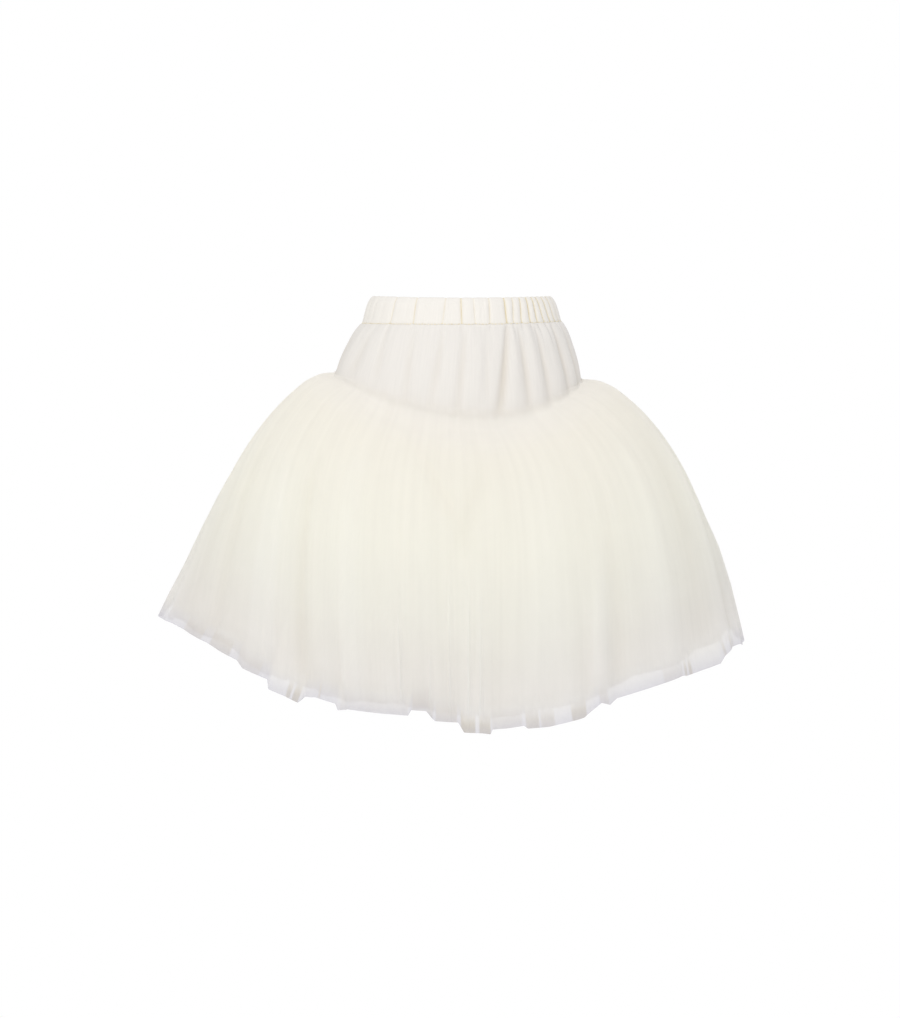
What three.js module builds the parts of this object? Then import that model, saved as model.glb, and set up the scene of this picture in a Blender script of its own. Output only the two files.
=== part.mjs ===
// Tulle skirt, filled out as if worn and empty inside: a gathered elastic waistband, a plain woven hip yoke
// and three layers of gathered tulle. Yoke and tulle each have a front and a back panel that meet at the sides.
// Millimetres, +Z up. The front faces -Y, and +X is on the right of someone who looks at the front.
// The origin is the centre of the waist, halfway up the waistband.
import * as THREE from "three";

// Seams
const SEAM_GAP = 0.3; // pieces that are sewn together stay this far apart
const TURN = 2 * Math.PI; // angles run from the centre front towards +X

// Waistband: one strip folded over an elastic, so its wall is as thick as casing and elastic together
const BAND_HEIGHT = 35;
const BAND_WALL = 3;
const BAND_GATHERS = 44;
const CREASE_SHARPNESS = 0.7; // under 1 makes round puffs between narrow creases
const BAND_SECTIONS = [
  { height: 0.5, halfWidth: 121, halfDepth: 94, puff: 0.8 },
  { height: 0.28, halfWidth: 126, halfDepth: 98, puff: 2.2 },
  { height: -0.28, halfWidth: 130, halfDepth: 101.5, puff: 2.2 },
  { height: -0.5, halfWidth: 133, halfDepth: 104, puff: 0.9 },
];

// Hip yoke: plain woven cloth, gathered into the waistband and dipping at the centre front and back
const YOKE_WALL = 1;
const YOKE_FOLDS = 28;
const YOKE_SIDE_DROP = 68; // from the waistband to the tulle seam at the sides
const YOKE_DIP = 46; // how much lower the seam lies at the centre front and back
const YOKE_SECTIONS = [
  { along: 0, halfWidth: 132, halfDepth: 103, fold: 0.4 },
  { along: 0.12, halfWidth: 140, halfDepth: 109, fold: 2.2 },
  { along: 0.4, halfWidth: 151, halfDepth: 118, fold: 3.6 },
  { along: 0.7, halfWidth: 160, halfDepth: 126, fold: 3 },
  { along: 1, halfWidth: 166, halfDepth: 131, fold: 1.6 },
];

// Tulle: stiff net that leaves the seam level and bends down under its own weight
const TULLE_WALL = 1;
const TULLE_WAVES = 32;
const TULLE_TUCK = 4; // how far the gathered edge reaches in under the yoke
const TULLE_LENGTH = 405; // cloth from seam to the usual hem
// Towards each side: how far the hem stands out from the yoke, how far it falls, and how much the fall bulges
const TULLE_SIDES = {
  left: { reach: 243, fall: 326, bulge: -4 },
  right: { reach: 214, fall: 358, bulge: 9 },
  front: { reach: 200, fall: 330, bulge: 0 },
  back: { reach: 200, fall: 330, bulge: 0 },
};
const TULLE_PROFILE = [
  { along: 0, reach: 0, drop: 0, wave: 0 },
  { along: 0.08, reach: 0.15, drop: 0.018, wave: 1.4 },
  { along: 0.15, reach: 0.255, drop: 0.065, wave: 2.6 },
  { along: 0.25, reach: 0.385, drop: 0.15, wave: 3.8 },
  { along: 0.375, reach: 0.525, drop: 0.275, wave: 5 },
  { along: 0.525, reach: 0.66, drop: 0.44, wave: 6.4 },
  { along: 0.67, reach: 0.77, drop: 0.61, wave: 7.6 },
  { along: 0.82, reach: 0.872, drop: 0.79, wave: 8.8 },
  { along: 1, reach: 1, drop: 1, wave: 10 },
  { along: 1.08, reach: 1.05, drop: 1.095, wave: 10.4 },
];
const TULLE_LAYERS = [
  { name: "outer", hemRise: 0, shift: 0, columnsPerWave: 5, rings: 7 },
  { name: "middle", hemRise: 13, shift: TURN / 6, columnsPerWave: 4, rings: 5 },
  { name: "inner", hemRise: 27, shift: TURN / 3, columnsPerWave: 4, rings: 4 },
];
const LAYER_GAP = 13; // between layers, once they have parted
const LAYERS_PART = 0.3; // the share of the length that they take to part
const RINGS_CROWD = 1.25; // over 1 sets the rings closer where the tulle bends at the seam
const HEM_STEPS = 6; // how far a raw hem is shorter from wave to wave, at most

// The hem's uneven line: degrees from the centre front, and how much longer than usual the cloth is there
const HEM_LINE = [
  { at: -180, longer: 10 },
  { at: -160, longer: -4 },
  { at: -142, longer: 12 },
  { at: -120, longer: -10 },
  { at: -90, longer: 4 },
  { at: -64, longer: -20 },
  { at: -46, longer: -20 },
  { at: -37, longer: 2 },
  { at: -18, longer: 1 },
  { at: -8, longer: 2 },
  { at: 2, longer: 18 },
  { at: 12, longer: 8 },
  { at: 22, longer: 10 },
  { at: 30, longer: -10 },
  { at: 50, longer: -7 },
  { at: 90, longer: 4 },
  { at: 118, longer: -12 },
  { at: 150, longer: 8 },
  { at: 180, longer: 10 },
];

// The largest folds, all the way down the tulle: degrees from the centre front, half spread, depth at the hem
const MAIN_FOLDS = [
  { at: -62, spread: 7, depth: 9 },
  { at: -40, spread: 5, depth: 12 },
  { at: -31, spread: 4, depth: 9 },
  { at: -4, spread: 5, depth: 12 },
  { at: 6, spread: 4, depth: 9 },
  { at: 31, spread: 6, depth: 12 },
  { at: 58, spread: 6, depth: 10 },
  { at: 118, spread: 7, depth: 10 },
  { at: 147, spread: 5, depth: 12 },
  { at: 174, spread: 6, depth: 11 },
  { at: 205, spread: 5, depth: 12 },
  { at: 236, spread: 6, depth: 9 },
];

const IVORY_COTTON = new THREE.MeshStandardMaterial({ color: 0xf3f0e8, roughness: 0.85, metalness: 0 });
const IVORY_TULLE = new THREE.MeshStandardMaterial({
  color: 0xefece1,
  roughness: 0.9,
  metalness: 0,
  side: THREE.DoubleSide,
});

// How uneven gathers are: their spacing, in radians, and the least depth as a share of the most
const UNEVEN = {
  band: { spacing: 0.02, least: 0.45, seed: 3 },
  yoke: { spacing: 0.03, least: 0.35, seed: 5 },
  tulle: { spacing: 0.022, least: 0.6, seed: 7 },
  hem: { least: 0, seed: 11 },
};

// A repeatable uneven number from 0 to 1 for each gather, fold or wave.
function uneven(index, seed) {
  const seedsApart = 1000; // more than the gathers in any one piece
  return THREE.MathUtils.seededRandom(seed * seedsApart + index);
}

// Reads a table of sections as smooth curves: returns a function from the key column to all its columns.
function smoothTable(rows, key) {
  const columns = Object.keys(rows[0]);
  const values = rows.flatMap((row) => columns.map((column) => row[column]));
  const curve = new THREE.CubicInterpolant(rows.map((row) => row[key]), values, columns.length);
  return (at) => {
    const found = curve.evaluate(at);
    return Object.fromEntries(columns.map((column, i) => [column, found[i]]));
  };
}

const yokeAt = smoothTable(YOKE_SECTIONS, "along");
const tulleAt = smoothTable(TULLE_PROFILE, "along");
const hemLineAt = smoothTable(HEM_LINE, "at");

// Angle of a column: unevenly spaced, but exact at the centre front, the centre back and the side seams.
function columnAngle(share, strength) {
  const even = TURN * share;
  return even + strength * (Math.sin(4 * even) + 0.6 * Math.sin(6 * even) - 0.8 * Math.sin(10 * even));
}

// A gather or wave's own depth, from least to 1, blended from each one to the next.
function waveDepth(turns, count, { least, seed }) {
  const first = Math.floor(turns);
  const here = uneven(first % count, seed);
  const next = uneven((first + 1) % count, seed);
  const blend = THREE.MathUtils.smoothstep(turns - first, 0, 1);
  return least + (1 - least) * THREE.MathUtils.lerp(here, next, blend);
}

function ellipsePoint(angle, halfWidth, halfDepth, z) {
  return new THREE.Vector3(halfWidth * Math.sin(angle), -halfDepth * Math.cos(angle), z);
}

// A grid of points for rings from top to hem, each ring closed, from a function of ring and column shares.
function ringGrid(rings, columns, pointAt) {
  return Array.from({ length: rings + 1 }, (_, ring) =>
    Array.from({ length: columns }, (_, column) => pointAt(ring / rings, column / columns)),
  );
}

// The outward normals of such a grid.
function gridNormals(grid) {
  const columns = grid[0].length;
  return grid.map((ring, r) =>
    ring.map((_, c) => {
      const above = grid[Math.max(r - 1, 0)][c];
      const below = grid[Math.min(r + 1, grid.length - 1)][c];
      const down = below.clone().sub(above);
      const around = ring[(c + 1) % columns].clone().sub(ring[(c + columns - 1) % columns]);
      return down.cross(around).normalize();
    }),
  );
}

// A grid moved along its normals by a distance that may differ from place to place.
function movedOut(grid, normals, distanceAt) {
  return grid.map((ring, r) =>
    ring.map((point, c) =>
      point.clone().addScaledVector(normals[r][c], distanceAt(r / (grid.length - 1), c / ring.length)),
    ),
  );
}

// Columns from one side seam to the other, each edge drawn in by half the seam gap.
function panelOf(grid, firstShare) {
  const columns = grid[0].length;
  const first = Math.round(firstShare * columns);
  const drawIn = (edge, towards) =>
    edge.clone().addScaledVector(towards.clone().sub(edge).normalize(), SEAM_GAP / 2);
  return grid.map((ring) => {
    const part = Array.from({ length: columns / 2 + 1 }, (_, i) => ring[(first + i) % columns]);
    const last = part.length - 1;
    const ends = [drawIn(part[0], part[1]), drawIn(part[last], part[last - 1])];
    return [ends[0], ...part.slice(1, last), ends[1]];
  });
}

// The closed wall between an outer and an inner grid: a tube where the rings close, or else a panel.
function wallGeometry(outer, inner, ringsClose) {
  const columns = outer[0].length;
  const lastRing = outer.length - 1;
  const spans = ringsClose ? columns : columns - 1;
  const outside = (ring, column) => ring * columns + (column % columns);
  const inside = (ring, column) => outer.length * columns + outside(ring, column);
  const index = [];
  const quad = (a, b, c, d) => index.push(a, b, c, a, c, d);
  for (let c = 0; c < spans; c++) {
    for (let r = 0; r < lastRing; r++) {
      quad(outside(r, c), outside(r + 1, c), outside(r + 1, c + 1), outside(r, c + 1));
      quad(inside(r, c), inside(r, c + 1), inside(r + 1, c + 1), inside(r + 1, c));
    }
    quad(outside(0, c), outside(0, c + 1), inside(0, c + 1), inside(0, c));
    quad(outside(lastRing, c), inside(lastRing, c), inside(lastRing, c + 1), outside(lastRing, c + 1));
  }
  if (!ringsClose) {
    for (let r = 0; r < lastRing; r++) {
      quad(outside(r, 0), inside(r, 0), inside(r + 1, 0), outside(r + 1, 0));
      quad(outside(r, spans), outside(r + 1, spans), inside(r + 1, spans), inside(r, spans));
    }
  }
  const geometry = new THREE.BufferGeometry().setFromPoints([...outer.flat(), ...inner.flat()]);
  geometry.setIndex(index);
  geometry.computeVertexNormals();
  return geometry;
}

function namedMesh(name, geometry, material) {
  const mesh = new THREE.Mesh(geometry, material);
  mesh.name = name;
  return mesh;
}

// A sheet of cloth as its two panels: walls of one thickness about a middle grid.
function frontAndBack(name, middle, thickness, material) {
  const normals = gridNormals(middle);
  const outer = movedOut(middle, normals, () => thickness / 2);
  const inner = movedOut(middle, normals, () => -thickness / 2);
  const panel = (side, firstShare) =>
    namedMesh(
      `${name}_${side}`,
      wallGeometry(panelOf(outer, firstShare), panelOf(inner, firstShare), false),
      material,
    );
  return [panel("front", 0.75), panel("back", 0.25)];
}

// The waistband: gathers puff out between creases on the outside, and the inside is plain.
function waistband() {
  const columnsPerGather = 4;
  const columns = BAND_GATHERS * columnsPerGather;
  const inner = BAND_SECTIONS.map((section) =>
    Array.from({ length: columns }, (_, column) => {
      const angle = columnAngle(column / columns, UNEVEN.band.spacing);
      const z = section.height * BAND_HEIGHT;
      return ellipsePoint(angle, section.halfWidth - BAND_WALL, section.halfDepth - BAND_WALL, z);
    }),
  );
  const outer = BAND_SECTIONS.map((section) =>
    Array.from({ length: columns }, (_, column) => {
      const angle = columnAngle(column / columns, UNEVEN.band.spacing);
      const z = section.height * BAND_HEIGHT;
      const turns = column / columnsPerGather;
      const crease = Math.abs(Math.sin(Math.PI * turns)) ** CREASE_SHARPNESS;
      const puff = section.puff * (crease - 0.5) * waveDepth(turns, BAND_GATHERS, UNEVEN.band);
      return ellipsePoint(angle, section.halfWidth + puff, section.halfDepth + puff, z);
    }),
  );
  return namedMesh("waistband", wallGeometry(outer, inner, true), IVORY_COTTON);
}

// The yoke's wall leans, so its upper edge stands up to half its thickness above its middle.
const yokeTop = -BAND_HEIGHT / 2 - SEAM_GAP - YOKE_WALL / 2;

// Height of the seam between yoke and tulle.
function seamHeight(angle) {
  return yokeTop - YOKE_SIDE_DROP - YOKE_DIP * Math.cos(angle) ** 2;
}

// The yoke: soft upright folds that start at the waistband and are spread flat by the tulle seam.
function yoke() {
  const rings = 4;
  const columnsPerFold = 4;
  const middle = ringGrid(rings, YOKE_FOLDS * columnsPerFold, (along, around) => {
    const angle = columnAngle(around, UNEVEN.yoke.spacing);
    const section = yokeAt(along);
    const turns = around * YOKE_FOLDS;
    const fold = section.fold * Math.sin(TURN * turns) * waveDepth(turns, YOKE_FOLDS, UNEVEN.yoke);
    const wallMiddle = YOKE_WALL / 2 + fold;
    const z = THREE.MathUtils.lerp(yokeTop, seamHeight(angle), along);
    return ellipsePoint(angle, section.halfWidth - wallMiddle, section.halfDepth - wallMiddle, z);
  });
  return frontAndBack("yoke", middle, YOKE_WALL, IVORY_COTTON);
}

// An angle in degrees from the centre front, from -180 to 180.
function degreesFromFront(angle) {
  return THREE.MathUtils.euclideanModulo(THREE.MathUtils.radToDeg(angle) + 180, 360) - 180;
}

// The depth of the main folds at an angle: valleys that run from seam to hem.
function mainFolds(angle) {
  return MAIN_FOLDS.reduce((sum, fold) => {
    const away = degreesFromFront(angle - THREE.MathUtils.degToRad(fold.at));
    return sum - fold.depth * Math.exp(-((away / fold.spread) ** 2));
  }, 0);
}

// A point of the tulle with no waves, from seam (along 0) to the usual hem (along 1) or a little past it.
function tulleBase(along, angle) {
  const profile = tulleAt(along);
  const sideways = Math.sin(angle) < 0 ? TULLE_SIDES.left : TULLE_SIDES.right;
  const lengthways = Math.cos(angle) < 0 ? TULLE_SIDES.back : TULLE_SIDES.front;
  const { halfWidth, halfDepth } = YOKE_SECTIONS[YOKE_SECTIONS.length - 1];
  const fall = THREE.MathUtils.lerp(sideways.fall, lengthways.fall, Math.cos(angle) ** 2);
  const bulge = Math.sin(Math.PI * Math.min(along, 1));
  const standsOut = (side) => profile.reach * side.reach + bulge * side.bulge;
  return ellipsePoint(
    angle,
    halfWidth - TULLE_TUCK + standsOut(sideways),
    halfDepth - TULLE_TUCK + standsOut(lengthways),
    seamHeight(angle) - profile.drop * fall,
  );
}

// One layer of tulle: waves that grow from the gathered edge to a raw, uneven hem.
function tulleLayer(layer, order) {
  const columns = TULLE_WAVES * layer.columnsPerWave;
  const angleAt = (around) => columnAngle(around, UNEVEN.tulle.spacing);
  const ownSeed = (kind) => ({ ...kind, seed: kind.seed + order });
  const alongAt = (ring, around) => {
    const hemLine = hemLineAt(degreesFromFront(angleAt(around))).longer - layer.hemRise;
    const steps = HEM_STEPS * waveDepth(around * TULLE_WAVES, TULLE_WAVES, ownSeed(UNEVEN.hem));
    return ring ** RINGS_CROWD * (1 + (hemLine - steps) / TULLE_LENGTH);
  };
  const base = ringGrid(layer.rings, columns, (ring, around) =>
    tulleBase(alongAt(ring, around), angleAt(around)),
  );
  const middle = movedOut(base, gridNormals(base), (ring, around) => {
    const along = alongAt(ring, around);
    const growth = tulleAt(along).wave;
    const turns = around * TULLE_WAVES;
    const depth = growth * waveDepth(turns, TULLE_WAVES, ownSeed(UNEVEN.tulle));
    const wave = depth * Math.sin(TURN * turns + layer.shift);
    const folds = (mainFolds(angleAt(around)) * growth) / tulleAt(1).wave;
    const stacked = SEAM_GAP + TULLE_WALL / 2 + order * (TULLE_WALL + SEAM_GAP);
    const parted = order * (LAYER_GAP - TULLE_WALL - SEAM_GAP) * Math.min(1, along / LAYERS_PART);
    return wave + folds - stacked - parted;
  });
  return frontAndBack(`tulle_${layer.name}`, middle, TULLE_WALL, IVORY_TULLE);
}

const skirt = new THREE.Group();
skirt.name = "tulle_skirt";
skirt.add(waistband(), ...yoke(), ...TULLE_LAYERS.flatMap(tulleLayer));

export default skirt;
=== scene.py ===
import math

import bpy
import numpy as np
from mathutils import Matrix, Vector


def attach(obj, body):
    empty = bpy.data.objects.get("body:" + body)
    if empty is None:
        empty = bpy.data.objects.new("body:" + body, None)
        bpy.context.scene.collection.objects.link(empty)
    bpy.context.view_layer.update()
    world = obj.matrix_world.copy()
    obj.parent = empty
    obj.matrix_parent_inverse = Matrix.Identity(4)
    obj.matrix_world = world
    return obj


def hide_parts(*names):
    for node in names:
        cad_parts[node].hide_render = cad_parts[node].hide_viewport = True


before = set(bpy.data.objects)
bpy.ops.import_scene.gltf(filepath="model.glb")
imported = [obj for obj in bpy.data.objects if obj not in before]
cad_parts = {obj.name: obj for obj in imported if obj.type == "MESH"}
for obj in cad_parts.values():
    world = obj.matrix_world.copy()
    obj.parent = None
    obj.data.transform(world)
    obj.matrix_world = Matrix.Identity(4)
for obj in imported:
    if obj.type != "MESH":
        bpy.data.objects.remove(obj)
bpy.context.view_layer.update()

# Waistband
# A straight strip of ivory cotton folded over a 30 mm elastic, which draws it up into uneven gathers: wide
# flat puffs at one side of the front, and round ones crowded between deep creases at the other. Sizes are
# in millimetres and angles in degrees from the centre front, unless a comment says otherwise.
MM = 0.001
BAND_HEIGHT = 35
BAND_COLUMNS = 1500
BAND_ROWS = 44
PUFF = 3.0  # how much farther the casing stands out between two creases than in a full one
PUFF_OUTSIDE = 0.75  # the share of that which is outside the elastic's face
EDGE_FULLNESS = 0.2  # the share of the puff that is left at the stitches and at the top fold
FOLD_MIDDLE = 1.5  # from the elastic's outer face back to the middle of the top fold
CREASE_SHARPNESS = 3  # of the sharp half of a crease
SCALLOP = 1.4  # how far the seam under the casing is drawn up by a full crease
SCALLOP_LEVEL = 0.4  # the depth of crease at which that seam keeps its height
SCALLOP_REACH = 4  # how far above the seam that shows
STITCH_LINE = -15.3  # height of that seam
NOTCH = 0.9  # how far a full crease draws the top fold down
NOTCH_LEVELS = (12, 17)  # heights between which that grows
WAIST_TILT = 2.5  # how much the front of the waist is held up, and the back let down
WAIST_RISE = 2.7  # how much the band's top rises to the sides, and the whole band to the +X side
BAND_CUT = (0.98, 0.036)  # the outside of the casing, laid flat, in metres

# Half the waist's width and depth at heights up the band
BAND_LEVELS = np.array([-17.5, -9.8, 9.8, 17.5])
BAND_HALF_WIDTHS = np.array([132.5, 129.0, 122.5, 118.0])
BAND_HALF_DEPTHS = np.array([103.5, 101.0, 96.0, 92.0])

# The casing in section, from its lower outside edge over the top fold to its lower inside edge:
# share of the way round, distance out from the elastic's outer face, height
CASING = np.array([
    (0.00, -1.8, -17.4),
    (0.04, -0.7, -16.5),
    (0.07, 0.0, -15.3),
    (0.42, 0.0, 15.6),
    (0.46, -0.5, 16.9),
    (0.50, -1.5, 17.4),
    (0.54, -2.5, 16.9),
    (0.58, -3.0, 15.6),
    (0.97, -3.0, -17.0),
    (1.00, -1.8, -17.4),
])

# Creases across the front: angle, depth as a share of the puff, half width in degrees, and how far the top
# of the crease leans towards +X, in degrees
FRONT_CREASES = np.array([
    (-84, 0.60, 2.0, 0.0),
    (-73, 0.45, 2.2, -1.0),
    (-64, 0.40, 2.0, 0.0),
    (-54, 0.30, 2.4, 0.5),
    (-44.5, 0.80, 1.5, 0.0),
    (-34, 0.25, 2.2, 0.0),
    (-28.5, 0.85, 1.5, -0.5),
    (-22, 0.30, 1.8, 0.0),
    (-10.5, 0.75, 1.5, 1.0),
    (-6, 0.25, 1.6, 0.0),
    (-0.5, 0.95, 1.6, -0.6),
    (7, 0.70, 1.6, -0.5),
    (11.5, 0.25, 1.4, 3.0),
    (16, 0.80, 1.4, 0.8),
    (26, 1.00, 1.8, 0.8),
    (31, 0.85, 1.5, 2.6),
    (36.5, 0.95, 1.6, 2.8),
    (42.5, 1.00, 1.8, 1.6),
    (48, 1.00, 1.7, 1.0),
    (53.5, 1.00, 1.7, -1.0),
    (60, 1.00, 2.0, -1.4),
    (67, 1.00, 2.0, -1.0),
    (75, 0.90, 2.2, 0.0),
    (83, 0.80, 2.2, 0.0),
])


def lay_out(name, columns, rows):
    """A flat panel of cloth on a grid, mapped as it is cut, and each point's shares across and down it."""
    bpy.ops.object.select_all(action="DESELECT")
    bpy.ops.mesh.primitive_grid_add(x_subdivisions=columns, y_subdivisions=rows, size=1)
    panel = bpy.context.object
    panel.name = panel.data.name = name
    places = np.empty(3 * len(panel.data.vertices))
    panel.data.vertices.foreach_get("co", places)
    right, up, _ = places.reshape(-1, 3).T
    return panel, right + 0.5, 0.5 - up


def drape(panel, x, y, z):
    """Moves a panel's points to where the made-up cloth has them, in millimetres."""
    panel.data.vertices.foreach_set("co", (np.stack([x, y, z], axis=1) * MM).ravel())
    panel.data.update()
    bpy.ops.object.shade_smooth()


def degrees_apart(a, b):
    """The turn from b to a, from -180 to 180 degrees."""
    return (a - b + 180) % 360 - 180


def deepest_crease(angle, height, creases):
    """How deep the deepest crease is at each point, from 0 to 1. A crease is half round and half sharp."""
    depth = np.zeros_like(angle)
    for at, deep, half_width, lean in creases:
        away = np.abs(degrees_apart(angle, at + lean * height / BAND_HEIGHT) / half_width)
        valley = (np.exp(-away**2) + np.exp(-CREASE_SHARPNESS * away)) / 2
        depth = np.maximum(depth, deep * valley)
    return depth


# The back has as many creases as the front, in the same columns, and none of them on the side seams.
uneven = np.random.default_rng(44)
back_count = len(FRONT_CREASES)
back_creases = np.stack([
    np.linspace(92, 268, back_count) + uneven.uniform(-2.2, 2.2, back_count),
    uneven.uniform(0.4, 1.0, back_count),
    uneven.uniform(1.5, 2.2, back_count),
    uneven.uniform(-1.5, 1.5, back_count),
], axis=1)
band_creases = np.concatenate([FRONT_CREASES, back_creases])


def band_point(angle, out, height):
    """Where the band is at an angle, moved out from its elastic and to a height, with its gathers."""
    crease = deepest_crease(angle, height, band_creases)
    above_seam = np.clip((height - STITCH_LINE) / (BAND_HEIGHT / 2 - STITCH_LINE), 0, 1)
    fullness = EDGE_FULLNESS + (1 - EDGE_FULLNESS) * np.sin(math.pi * above_seam) ** 0.55
    outside = np.clip(1 + out / FOLD_MIDDLE, 0, 1)
    out = out + outside * PUFF * fullness * (PUFF_OUTSIDE - crease)
    near_top = np.interp(height, NOTCH_LEVELS, (0, 1))
    height = height - NOTCH * crease * near_top
    near_seam = np.clip((STITCH_LINE + SCALLOP_REACH - height) / SCALLOP_REACH, 0, 1)
    height = height + SCALLOP * (crease - SCALLOP_LEVEL) * near_seam
    turn = np.radians(angle)
    half_width = np.interp(height, BAND_LEVELS, BAND_HALF_WIDTHS) + out
    half_depth = np.interp(height, BAND_LEVELS, BAND_HALF_DEPTHS) + out
    risen = np.where(np.sin(turn) > 0, 1, height / BAND_HEIGHT + 0.5) * np.sin(turn) ** 2
    height = height + WAIST_TILT * np.cos(turn) + WAIST_RISE * risen
    return half_width * np.sin(turn), -half_depth * np.cos(turn), height


def mark(panel, name, values):
    """Keeps one value for each point of a panel, for its material to read."""
    attribute = panel.data.attributes.new(name, "FLOAT", "POINT")
    attribute.data.foreach_set("value", values.astype(np.float32))


waistband, across, round_section = lay_out("waistband_casing", BAND_COLUMNS, BAND_ROWS)
round_section = 1 - round_section
band_angle = 360 * across - 180
band_out = np.interp(round_section, CASING[:, 0], CASING[:, 1])
band_height = np.interp(round_section, CASING[:, 0], CASING[:, 2])
drape(waistband, *band_point(band_angle, band_out, band_height))
# Painted shade: the deeper a crease, the darker and more golden the casing is painted there.
mark(waistband, "painted_shade", deepest_crease(band_angle, band_height, band_creases) ** 4)
bpy.ops.object.mode_set(mode="EDIT")
bpy.ops.mesh.select_all(action="SELECT")
bpy.ops.mesh.remove_doubles(threshold=0.001 * MM)
bpy.ops.mesh.normals_make_consistent(inside=False)
bpy.ops.object.mode_set(mode="OBJECT")


def linear(hex_colour):
    """An sRGB hex colour as linear RGBA."""
    shares = [int(hex_colour[i:i + 2], 16) / 255 for i in (1, 3, 5)]
    return [s / 12.92 if s <= 0.04045 else ((s + 0.055) / 1.055) ** 2.4 for s in shares] + [1.0]


def add_node(tree, kind, inputs, **settings):
    """Adds a shader node. An input that is another node's socket is linked, and any other is set."""
    node = tree.nodes.new("ShaderNode" + kind)
    for name, value in settings.items():
        setattr(node, name, value)
    for socket, value in inputs.items():
        if isinstance(value, bpy.types.NodeSocket):
            tree.links.new(value, node.inputs[socket])
        else:
            node.inputs[socket].default_value = value
    return node


def ivory_cotton(name, cut, cloth_hex, painted_shade_hex):
    """Plain-weave cotton, washed and unpressed: matt, with a fine even weave and faint slubs along its
    threads. Its creases and fold valleys are painted in a darker shade, golden on the casing, by a mark that
    each panel carries. The threads are 0.4 mm apart and are drawn at 1.3 mm, because finer ones wouldn't
    show."""
    thread = 1.3
    slub_width = 2.5
    slub_length = 45
    size = (cut[0] / MM, cut[1] / MM, 1)
    material = bpy.data.materials.new(name)
    material.use_nodes = True
    tree = material.node_tree
    tree.nodes.clear()
    cloth = add_node(tree, "TexCoord", {}).outputs["UV"]
    in_threads = add_node(tree, "VectorMath", {
        0: cloth, 1: [s / thread for s in size],
    }, operation="MULTIPLY").outputs[0]
    over = add_node(tree, "TexChecker", {"Vector": in_threads, "Scale": 1.0}).outputs["Fac"]
    in_waves = {"Vector": in_threads, "Scale": math.pi / 10, "Phase Offset": 0.0}
    warp = add_node(tree, "TexWave", in_waves, bands_direction="X", wave_profile="SIN").outputs["Fac"]
    weft = add_node(tree, "TexWave", in_waves, bands_direction="Y", wave_profile="SIN").outputs["Fac"]
    weave = add_node(tree, "Mix", {"Factor": over, "A": warp, "B": weft}, data_type="FLOAT").outputs["Result"]
    in_slubs = add_node(tree, "VectorMath", {
        0: cloth, 1: (size[0] / slub_width, size[1] / slub_length, 1),
    }, operation="MULTIPLY").outputs[0]
    slubs = add_node(tree, "TexNoise", {
        "Vector": in_slubs, "Scale": 1.0, "Detail": 3.0, "Roughness": 0.55,
    }, noise_dimensions="2D").outputs["Fac"]
    relief = add_node(tree, "Math", {0: weave, 1: slubs}, operation="ADD").outputs[0]
    bump = add_node(tree, "Bump", {
        "Height": relief, "Strength": 0.12, "Distance": 0.1 * MM,
    }).outputs["Normal"]
    tone = add_node(tree, "MapRange", {
        "Value": slubs, "From Min": 0.3, "From Max": 0.7, "To Min": 0.97, "To Max": 1.0,
    }).outputs["Result"]
    # Painted shade in the creases and fold valleys, read from the panel's mark.
    painted_shade = add_node(tree, "Attribute", {}, attribute_name="painted_shade").outputs["Fac"]
    shaded = add_node(tree, "Mix", {
        "Factor": painted_shade, 6: linear(cloth_hex), 7: linear(painted_shade_hex),
    }, data_type="RGBA").outputs[2]
    colour = add_node(tree, "Mix", {
        "Factor": 1.0, 6: shaded, 7: tone,
    }, data_type="RGBA", blend_type="MULTIPLY").outputs[2]
    roughness = add_node(tree, "MapRange", {
        "Value": weave, "To Min": 0.82, "To Max": 0.92,
    }).outputs["Result"]
    surface = add_node(tree, "BsdfPrincipled", {
        "Base Color": colour, "Roughness": roughness, "Normal": bump, "Specular IOR Level": 0.25,
        "Sheen Weight": 0.08, "Sheen Roughness": 0.5,
    }).outputs[0]
    add_node(tree, "OutputMaterial", {"Surface": surface})
    return material


# The casing's cotton, with a painted golden shade in its creases.
waistband.data.materials.append(ivory_cotton("ivory casing cotton", BAND_CUT, "#EDE9E2", "#DCCB98"))
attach(waistband, "root")
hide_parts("waistband")

# Casing stitches
# One row of lockstitch in cream thread closes the casing under the elastic. Each stitch is a short rounded
# length of thread that lies on the casing and follows its gathers.
STITCH_LENGTH = 3.0
STITCH_GAP = 0.9
THREAD = 0.8  # a real thread is about 0.3 mm thick and is drawn thicker, because it wouldn't show
STITCH_SINK = 0.1  # how far the thread is pulled into the cloth
SCALLOPED = 1.01  # how much the gathers lengthen the row
STEP_AHEAD = 0.5  # degrees to the point that a stitch is turned towards

bpy.ops.object.select_all(action="DESELECT")
bpy.ops.mesh.primitive_uv_sphere_add(segments=8, ring_count=6, radius=0.5)
stitches = bpy.context.object
stitches.name = stitches.data.name = "casing_stitches"
one = np.empty(3 * len(stitches.data.vertices))
stitches.data.vertices.foreach_get("co", one)
one = one.reshape(-1, 3) * (THREAD, THREAD, STITCH_LENGTH)
one_faces = [list(face.vertices) for face in stitches.data.polygons]

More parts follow.
